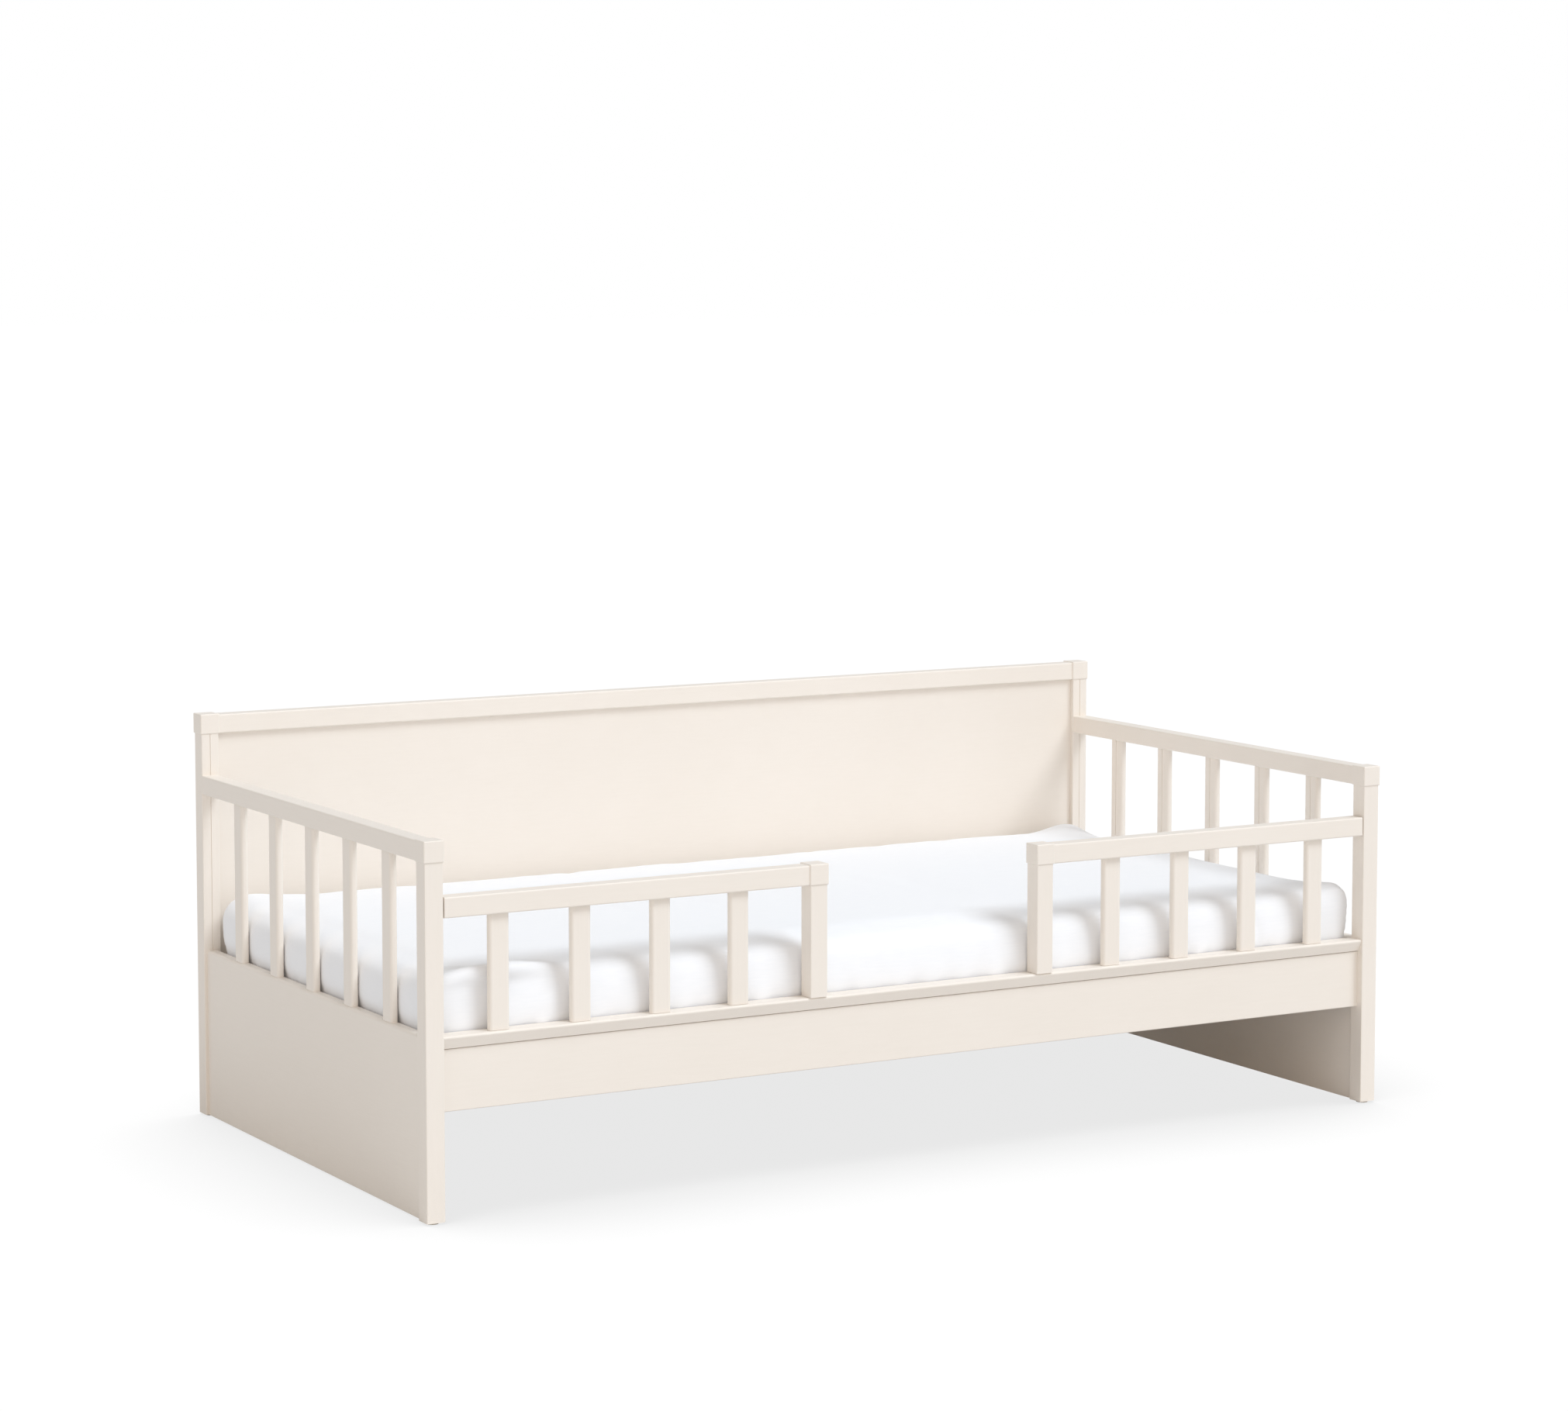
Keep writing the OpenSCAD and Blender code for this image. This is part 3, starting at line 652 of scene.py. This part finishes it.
# folds that run up the front from the hem: a path of (x, height above the foot), its width and its height
FRONT_FOLDS = (
    ([(-0.566, 0.030), (-0.554, 0.055), (-0.540, 0.084)], 0.0075, 0.0032),
    ([(-0.520, 0.030), (-0.528, 0.052)], 0.0070, 0.0016),
    ([(-0.392, 0.030), (-0.380, 0.070)], 0.0090, 0.0012),
    ([(-0.240, 0.030), (-0.252, 0.062)], 0.0090, 0.0012),
    ([(-0.065, 0.030), (-0.056, 0.060)], 0.0110, 0.0008),
    ([(0.120, 0.030), (0.108, 0.064)], 0.0100, 0.0010),
    ([(0.300, 0.030), (0.312, 0.066)], 0.0090, 0.0013),
    ([(0.440, 0.030), (0.452, 0.062)], 0.0080, 0.0020),
    ([(0.543, 0.034), (0.536, 0.058), (0.526, 0.086)], 0.0070, 0.0030),
    ([(0.548, 0.034), (0.560, 0.066)], 0.0065, 0.0022),
    ([(0.640, 0.034), (0.632, 0.070)], 0.0080, 0.0018),
)
# folds along the top edge at the front: points of (x, distance back, height over the top)
ROLL = (
    (-0.697, 0.008, -0.012),
    (-0.662, 0.011, -0.006),
    (-0.615, 0.012, -0.004),
    (-0.575, 0.013, -0.004),
    (-0.522, 0.018, -0.003),
)
TUCK = ((0.660, 0.008, 0.0), (0.690, 0.006, -0.003), (0.704, 0.012, -0.018))
# folds up the ends and the back: (place, how far it leans, its length)
END_FOLDS = ((-0.235, 0.012, 0.07), (-0.110, -0.014, 0.05), (0.060, 0.010, 0.06), (0.215, -0.012, 0.07))
BACK_FOLDS = (
    (-0.560, 0.014, 0.07),
    (-0.330, -0.010, 0.05),
    (0.020, 0.012, 0.05),
    (0.300, -0.014, 0.06),
    (0.585, 0.010, 0.07),
)
# pulls that run off each corner's seam over the top: (length, turn in radians, height)
CORNER_PULLS = ((0.13, 0.10, 0.0014), (0.09, 0.45, 0.0010))
SEAM_DEPTH, PUCKER_HIGH, PUCKER_STEP = 0.0012, 0.0006, 0.0105
WAVE_HIGH, WAVE_STEP = 0.0009, 0.055
GATHER_HIGH, GATHER_HIGH_BENEATH, GATHER_STEP = 0.0009, 0.0004, 0.019


def front_folds():
    """The folds up the front, and slow waves where the front meets the ledge."""
    fold = np.zeros(len(base))
    for path, wide, height in FRONT_FOLDS:
        fold += crease([(x, y0, z0 + up) for x, up in path], wide, height, lean=(1, 0, 0))
    wave = np.sin(base[:, 0] / WAVE_STEP * 2 * np.pi + 2 * np.sin(base[:, 0] * 7))
    on_front = base[:, 1] < y0 + 0.012
    return fold + WAVE_HIGH * wave * on_front * (1 - rise(base[:, 2], z0 + 0.045, z0 + 0.080))


def edge_folds():
    """The left front corner is pulled into a roll with a hollow behind it, the right one into a tuck."""
    roll = [(x, y0 + back, z1 + up) for x, back, up in ROLL]
    tuck = [(x, y0 + back, z1 + up) for x, back, up in TUCK]
    fold = crease(roll, 0.010, 0.0145, lean=(0, 1, 0.3), groove=0.3)
    return fold + crease(tuck, 0.006, 0.0026, lean=(0.6, 1, 0))


def side_folds():
    """Short folds up both ends and the back."""
    fold = np.zeros(len(base))
    foot = z0 + 0.012
    for side in (-1, 1):
        for y, lean, tall in END_FOLDS:
            path = [(side * x1, y, foot), (side * x1, y + lean, foot + tall)]
            fold += crease(path, 0.008, 0.0014, lean=(0, 1, 0))
    for x, lean, tall in BACK_FOLDS:
        fold += crease([(x, y1, foot), (x + lean, y1, foot + tall)], 0.008, 0.0015, lean=(1, 0, 0))
    return fold


def corner_folds(sx, sy):
    """A sewn pocket seam down one corner, puckered, with short pulls that run off it over the top."""
    cx, cy = sx * (x1 - 0.0135), sy * (y1 - 0.0135)
    seam = [
        (cx, cy, z0 + 0.010),
        (cx, cy, z1 - 0.030),
        (sx * (x1 - 0.024), sy * (y1 - 0.024), z1 - 0.010),
        (sx * (x1 - 0.045), sy * (y1 - 0.045), z1),
    ]
    gap, share, _ = along(seam)
    fold = -SEAM_DEPTH * bell(gap, 0.0035) * rise(1 - share, 0.0, 0.2)
    pucker = np.sin(base[:, 2] / PUCKER_STEP * 2 * np.pi + 1.3 * sx + sy)
    fold += PUCKER_HIGH * pucker * bell(gap, 0.012) * (1 - bell(gap, 0.003))
    start = np.array((sx * (x1 - 0.020), sy * (y1 - 0.020), z1 - 0.014))
    for reach, turn, height in CORNER_PULLS:
        forward, aside = reach * math.cos(turn), reach * math.sin(turn) * 0.3
        run_x = start + (-sx * forward, sy * (0.008 - aside), 0.004)
        run_y = start + (sx * (0.006 - aside), -sy * forward, 0.004)
        fold += crease([start, run_x], 0.006, height, lean=(0, sy, 0.4))
        fold += crease([start, run_y], 0.006, height * 0.8, lean=(sx, 0, 0.4))
    return fold


def hem_gathers():
    """Gathers that fan up from the elastic round the foot of every side."""
    fold = np.zeros(len(base))
    low_down = 1 - rise(base[:, 2], z0 + 0.004, z0 + 0.040)
    for i in np.flatnonzero(low_down > 0):
        x, y, z = base[i]
        phase = noise.noise(Vector((x * 9, y * 9, 3.0))) * 5
        beat = math.sin((x + y) / GATHER_STEP * 2 * math.pi + phase)
        size = 0.6 + 0.4 * noise.noise(Vector((x * 6, y * 6, 8.0)))
        fold[i] = low_down[i] * size * beat * (GATHER_HIGH_BENEATH if z < z0 + 0.003 else GATHER_HIGH)
    return fold


fold = front_folds() + edge_folds() + side_folds() + hem_gathers()
for sx in (-1, 1):
    for sy in (-1, 1):
        fold += corner_folds(sx, sy)
surface = base + outward * np.maximum(fold, -GROOVE)[:, None]
room = end_room(surface)
surface[:, 0] = np.clip(surface[:, 0], -room, room)
surface[:, 1] = np.clip(surface[:, 1], y0, y1)
surface[:, 2] = np.maximum(surface[:, 2], z0 + CLOTH * 0.6)
move_points(sheet, surface)
thick = sheet.modifiers.new("thick", "SOLIDIFY")
thick.thickness = THREAD
thick.offset = -1
apply_modifiers(sheet)

# the foam gives way a little under the sheet, so that the sheet's grooves stay outside it
core = points_of(mattress)
sunk = rise(core[:, 2], z0 + 0.004, z0 + 0.012)
move_points(mattress, core - facing_of(mattress) * (sunk * (GROOVE + 0.0004))[:, None])

# ---------------------------------------------------------------- hem

HEM_WIDE, HEM_THICK, HEM_STEPS, HEM_RING = 0.009, 0.0014, 760, 10
HEM_CORNER_R = 0.05
HEM_GATHER = 0.0125
# half the size of the opening between its round corners, and the length of each side and corner
HEM_HALF = np.array((x1 - RETURN - HEM_CORNER_R, y1 - RETURN - HEM_CORNER_R))
HEM_ARC = HEM_CORNER_R * math.pi / 2
HEM_LEGS = [HEM_HALF[0] * 2, HEM_ARC, HEM_HALF[1] * 2, HEM_ARC] * 2
# each straight side: the corners that it runs from and to, and its outward direction
HEM_SIDES = (
    ((-1, -1), (1, -1), (0, -1)),
    ((1, -1), (1, 1), (1, 0)),
    ((1, 1), (-1, 1), (0, 1)),
    ((-1, 1), (-1, -1), (-1, 0)),
)


def hem_line(s):
    """A point on the rounded rectangle of the opening, and its outward direction."""
    leg = 0
    while leg < len(HEM_LEGS) - 1 and s > HEM_LEGS[leg]:
        s -= HEM_LEGS[leg]
        leg += 1
    side = leg // 2
    start, end, out = (np.array(v, float) for v in HEM_SIDES[side])
    if leg % 2 == 0:
        centre = start + (end - start) * s / HEM_LEGS[leg]
    else:
        centre = end
        angle = s / HEM_CORNER_R + (side - 1) * math.pi / 2
        out = np.array((math.cos(angle), math.sin(angle)))
    return centre * HEM_HALF + out * HEM_CORNER_R, out


def make_hem():
    """A narrow casing gathered on its elastic, round the opening underneath."""
    points, faces = [], []
    for k in range(HEM_STEPS):
        s = k / HEM_STEPS * sum(HEM_LEGS)
        place, out = hem_line(s)
        gather = math.sin(s / HEM_GATHER * 2 * math.pi + 2 * noise.noise(Vector((s * 8, 0, 0))))
        width = HEM_WIDE * (1 + 0.08 * gather)
        height = HEM_THICK * (0.80 + 0.20 * gather) / 2
        place = place + out * 0.0012 * gather
        for r in range(HEM_RING):
            angle = 2 * math.pi * r / HEM_RING
            px, py = place + out * math.cos(angle) * width / 2
            flat_round = math.copysign(abs(math.sin(angle)) ** 0.7, math.sin(angle))
            points.append((px, py, z0 + HEM_THICK / 2 + 0.0001 + flat_round * height))
    for k in range(HEM_STEPS):
        for r in range(HEM_RING):
            a, b = k * HEM_RING + r, k * HEM_RING + (r + 1) % HEM_RING
            c, d = (a + HEM_RING) % len(points), (b + HEM_RING) % len(points)
            faces.append((a, b, d, c))
    return make_object("sheet_hem", points, faces, SHEET)


hem = make_hem()

# ---------------------------------------------------------------- the soft pieces: each rides on the mattress body, and hides the CAD part it stands in for

for piece, node, slot in (
    (mattress, "mattress_core", "mattress_ticking"),
    (sheet, "fitted_sheet", "sheet_fabric"),
    (hem, None, "sheet_fabric"),
):
    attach(piece, "mattress")
    if node:
        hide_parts(node)

# ---------------------------------------------------------------- stage, light and camera

SCENE = bpy.context.scene
SCENE.view_settings.view_transform = "Standard"
FLOOR_REACH = 60.0
WORLD_LIGHT = 0.575
floor_mesh = bpy.data.meshes.new("floor")
floor_mesh.from_pydata(
    [(x * FLOOR_REACH, y * FLOOR_REACH, 0) for x, y in ((-1, -1), (1, -1), (1, 1), (-1, 1))],
    [],
    [(0, 1, 2, 3)],
)
floor = bpy.data.objects.new("floor", floor_mesh)
SCENE.collection.objects.link(floor)


def floor_material():
    """A pale floor: the camera sees a glow with a soft painted contact shade from ambient occlusion, and
    other rays find a diffuse floor that throws light back at the bed as plain paper does.
    """
    material = bpy.data.materials.new("pale_floor")
    material.use_nodes = True
    tree = material.node_tree
    tree.nodes.clear()
    bounce, glow_with_painted_shade = tree.nodes.new("ShaderNodeBsdfDiffuse"), tree.nodes.new("ShaderNodeEmission")
    painted_shade_ao, shade = tree.nodes.new("ShaderNodeAmbientOcclusion"), tree.nodes.new("ShaderNodeValToRGB")
    pick, path = tree.nodes.new("ShaderNodeMixShader"), tree.nodes.new("ShaderNodeLightPath")
    out = tree.nodes.new("ShaderNodeOutputMaterial")
    bounce.inputs["Color"].default_value = (0.80, 0.80, 0.80, 1)
    # painted contact shade: ambient occlusion within this distance darkens the floor's glow under and beside
    # the bed
    painted_shade_ao.samples = 24
    painted_shade_ao.inputs["Distance"].default_value = 0.42
    dark, pale = shade.color_ramp.elements
    dark.position, dark.color = 0.40, (0.805, 0.805, 0.805, 1)
    pale.position, pale.color = 0.90, (1.02, 1.02, 1.02, 1)
    link = tree.links.new
    link(painted_shade_ao.outputs["AO"], shade.inputs["Fac"])
    link(shade.outputs["Color"], glow_with_painted_shade.inputs["Color"])
    # the camera sees the glow with its painted shade; other rays see the plain diffuse floor
    link(path.outputs["Is Camera Ray"], pick.inputs[0])
    link(bounce.outputs[0], pick.inputs[1])
    link(glow_with_painted_shade.outputs[0], pick.inputs[2])
    link(pick.outputs[0], out.inputs["Surface"])
    return material


floor_mesh.materials.append(floor_material())

world = bpy.data.worlds.new("studio")
SCENE.world = world
world.use_nodes = True
sky = world.node_tree
lit, white = sky.nodes["Background"], sky.nodes.new("ShaderNodeBackground")
lit.inputs["Color"].default_value = (1.0, 1.0, 1.0, 1)
lit.inputs["Strength"].default_value = WORLD_LIGHT
white.inputs["Color"].default_value = (1, 1, 1, 1)
white.inputs["Strength"].default_value = 1.0
path, pick = sky.nodes.new("ShaderNodeLightPath"), sky.nodes.new("ShaderNodeMixShader")
sky.links.new(path.outputs["Is Camera Ray"], pick.inputs[0])
sky.links.new(lit.outputs[0], pick.inputs[1])
sky.links.new(white.outputs[0], pick.inputs[2])
sky.links.new(pick.outputs[0], sky.nodes["World Output"].inputs["Surface"])


def sun(name, azimuth, elevation, strength, spread, colour):
    """azimuth is degrees round from the front (-Y) towards +X."""
    data = bpy.data.lights.new(name, "SUN")
    data.energy, data.angle, data.color = strength, math.radians(spread), colour
    made = bpy.data.objects.new(name, data)
    a, e = math.radians(azimuth), math.radians(elevation)
    towards = Vector((math.sin(a) * math.cos(e), -math.cos(a) * math.cos(e), math.sin(e)))
    made.rotation_euler = towards.to_track_quat("Z", "Y").to_euler()
    SCENE.collection.objects.link(made)


sun("key", 38, 52, 1.54, 28, (0.94, 1.0, 1.07))
sun("fill", -35, 12, 0.52, 70, (1.0, 0.78, 0.60))

CAMERA_PLACE = (-2.7524, -4.7796, 1.1855)
CAMERA_AZIMUTH = 29.835
CAMERA_TILT = 5.077
CAMERA_LENS = 92.104
CAMERA_SHIFT = -0.06
camera_data = bpy.data.cameras.new("camera")
camera_data.lens = CAMERA_LENS
camera_data.sensor_width = 36.0
camera_data.shift_y = CAMERA_SHIFT
camera_data.clip_end = 200.0
camera = bpy.data.objects.new("camera", camera_data)
camera.location = CAMERA_PLACE
camera.rotation_euler = Euler((math.radians(90 - CAMERA_TILT), 0, math.radians(-CAMERA_AZIMUTH)))
SCENE.collection.objects.link(camera)
SCENE.camera = camera
